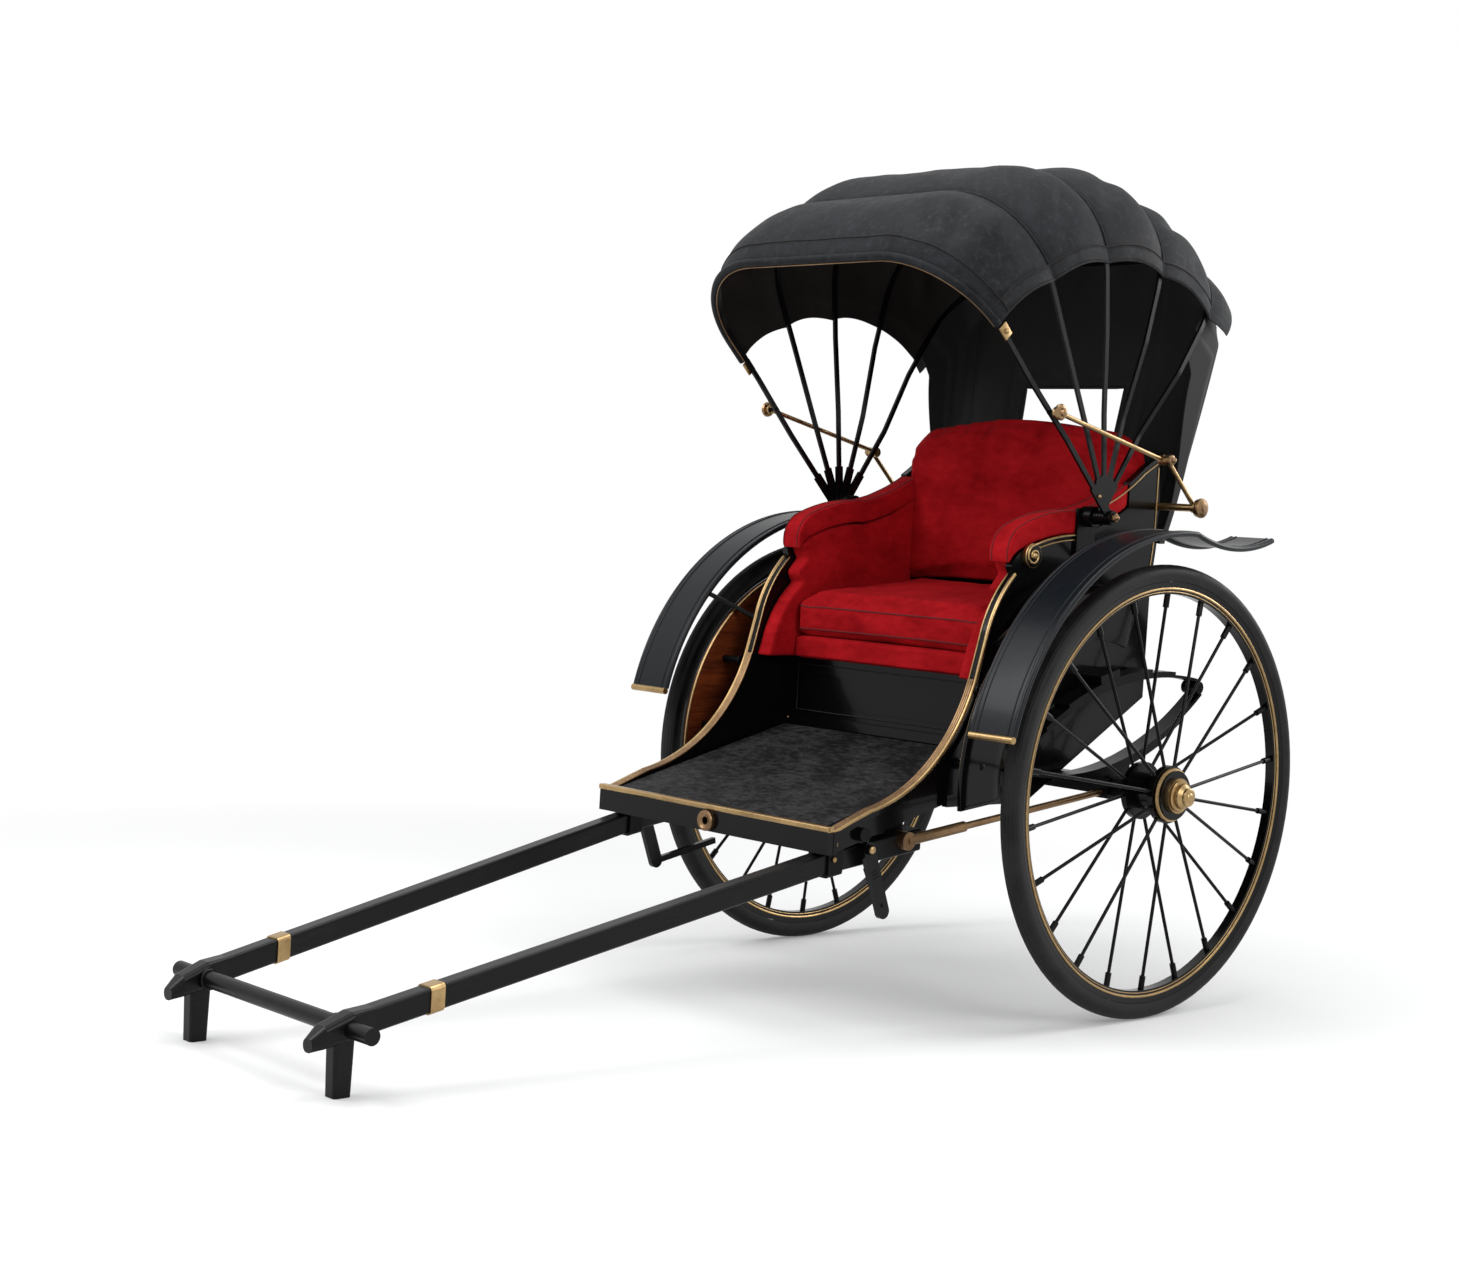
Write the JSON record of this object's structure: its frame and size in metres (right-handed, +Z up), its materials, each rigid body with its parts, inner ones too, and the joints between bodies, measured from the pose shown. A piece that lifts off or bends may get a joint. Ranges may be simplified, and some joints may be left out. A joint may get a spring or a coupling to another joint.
{
  "type": "pulled rickshaw",
  "caption": "Two-wheeled hand-pulled passenger cart with wire-spoked wheels, leaf springs, padded seat, long pulling shafts with rest legs and a folding canvas hood on bows.",
  "frame": {"origin": "centre of the bounding box footprint, on the floor under the parked rickshaw", "axes": "+X forward along the shafts, +Y to the vehicle left, +Z up"},
  "size_m": [2.5599, 1.292, 1.9195],
  "materials": {
    "lacquer": "gloss black lacquer",
    "lacquer_wood": "black lacquered wood",
    "brass": "aged brass",
    "bronze": "dark bronze",
    "steel_black": "satin black",
    "tyre": "matt black rubber",
    "velvet": "red velvet",
    "canvas": "waxed charcoal canvas",
    "mat": "mottled dark mat",
    "splash_wood": "varnished red-brown wood"
  },
  "bodies": {
    "chassis": {"fender_left": "lacquer", "fender_right": "lacquer", "fender_stays": "lacquer", "prop_pins": "lacquer", "edge_beads": "brass", "front_edge": "brass", "front_socket": "brass", "fender_lips": "brass", "shaft_bands": "brass", "stay_knobs": "brass", "radius_rods": "bronze", "axle": "steel_black", "springs": "steel_black", "spring_clamps": "steel_black", "shaft_clamps": "steel_black", "hood_pivots": "steel_black", "side_panel_left": "lacquer_wood", "side_panel_right": "lacquer_wood", "back_panel": "lacquer_wood", "seat_box": "lacquer_wood", "front_board": "lacquer_wood", "floor_frame": "lacquer_wood", "floor_board": "lacquer_wood", "shaft_left": "lacquer_wood", "shaft_right": "lacquer_wood", "shaft_tips": "lacquer_wood", "legs": "lacquer_wood", "cross_bar": "lacquer_wood", "arm_pads": "velvet", "side_pads": "velvet", "seat_pad": "velvet", "seat_cushion": "velvet", "back_cushion": "velvet", "floor_mat": "mat", "splash_board_left": "splash_wood", "splash_board_right": "splash_wood"},
    "wheel_left": {"tyre_left": "tyre", "rim_left": "lacquer", "spokes_left": "lacquer", "hub_left": "lacquer", "hub_cap_left": "brass"},
    "wheel_right": {"tyre_right": "tyre", "rim_right": "lacquer", "spokes_right": "lacquer", "hub_right": "lacquer", "hub_cap_right": "brass"},
    "bow_5": {"bow_5": "steel_black", "hood_curtain": "canvas"},
    "bow_4": {"bow_4": "steel_black", "hood_panel_4": "canvas"},
    "bow_3": {"bow_3": "steel_black", "hood_panel_3": "canvas"},
    "bow_2": {"bow_2": "steel_black", "hood_panel_2": "canvas"},
    "bow_1": {"bow_1": "steel_black", "hood_panel_1": "canvas"},
    "stay_upper": {"stay_upper": "bronze"},
    "stay_lower": {"stay_lower": "bronze"},
    "prop_left": {"prop_left": "lacquer"},
    "prop_right": {"prop_right": "lacquer"}
  },
  "joints": [
    {"name": "wheel_left_spin", "type": "hinge", "parent": "chassis", "child": "wheel_left", "pos_m": [-0.76, 0.552, 0.52], "axis": [0, 1, 0], "continuous": true},
    {"name": "wheel_right_spin", "type": "hinge", "parent": "chassis", "child": "wheel_right", "pos_m": [-0.76, -0.552, 0.52], "axis": [0, 1, 0], "continuous": true},
    {"name": "hood_fold", "type": "hinge", "parent": "chassis", "child": "bow_5", "pos_m": [-0.674, 0, 1.138], "axis": [0, -1, 0], "range_deg": [0, 36], "deforming": ["hood_curtain"]},
    {"name": "bow_4_fold", "type": "hinge", "parent": "bow_5", "child": "bow_4", "pos_m": [-0.674, 0, 1.138], "axis": [0, -1, 0], "range_deg": [0, 16], "deforming": ["hood_panel_4"]},
    {"name": "bow_3_fold", "type": "hinge", "parent": "bow_4", "child": "bow_3", "pos_m": [-0.674, 0, 1.138], "axis": [0, -1, 0], "range_deg": [0, 16], "deforming": ["hood_panel_3"]},
    {"name": "bow_2_fold", "type": "hinge", "parent": "bow_3", "child": "bow_2", "pos_m": [-0.674, 0, 1.138], "axis": [0, -1, 0], "range_deg": [0, 16], "deforming": ["hood_panel_2"]},
    {"name": "bow_1_fold", "type": "hinge", "parent": "bow_2", "child": "bow_1", "pos_m": [-0.674, 0, 1.138], "axis": [0, -1, 0], "range_deg": [0, 16], "deforming": ["hood_panel_1"]},
    {"name": "stay_upper_fold", "type": "hinge", "parent": "bow_1", "child": "stay_upper", "pos_m": [-0.44309, 0, 1.36098], "axis": [0, -1, 0], "range_deg": [-146, 0]},
    {"name": "stay_lower_fold", "type": "hinge", "parent": "stay_upper", "child": "stay_lower", "pos_m": [-0.833, 0, 1.279], "axis": [0, -1, 0], "range_deg": [0, 148]},
    {"name": "prop_left_swing", "type": "hinge", "parent": "chassis", "child": "prop_left", "pos_m": [-0.017, 0.36995, 0.402], "axis": [0, 1, 0], "range_deg": [-15, 45]},
    {"name": "prop_right_swing", "type": "hinge", "parent": "chassis", "child": "prop_right", "pos_m": [-0.017, -0.36995, 0.402], "axis": [0, 1, 0], "range_deg": [-15, 15]}
  ],
  "couplings": [
    {"joint": "bow_4_fold", "follows": "hood_fold", "ratio": 0.4444},
    {"joint": "bow_3_fold", "follows": "hood_fold", "ratio": 0.4444},
    {"joint": "bow_2_fold", "follows": "hood_fold", "ratio": 0.4444},
    {"joint": "bow_1_fold", "follows": "hood_fold", "ratio": 0.4444},
    {"joint": "stay_upper_fold", "follows": "hood_fold", "ratio": -4.0555},
    {"joint": "stay_lower_fold", "follows": "hood_fold", "ratio": 4.1111}
  ]
}
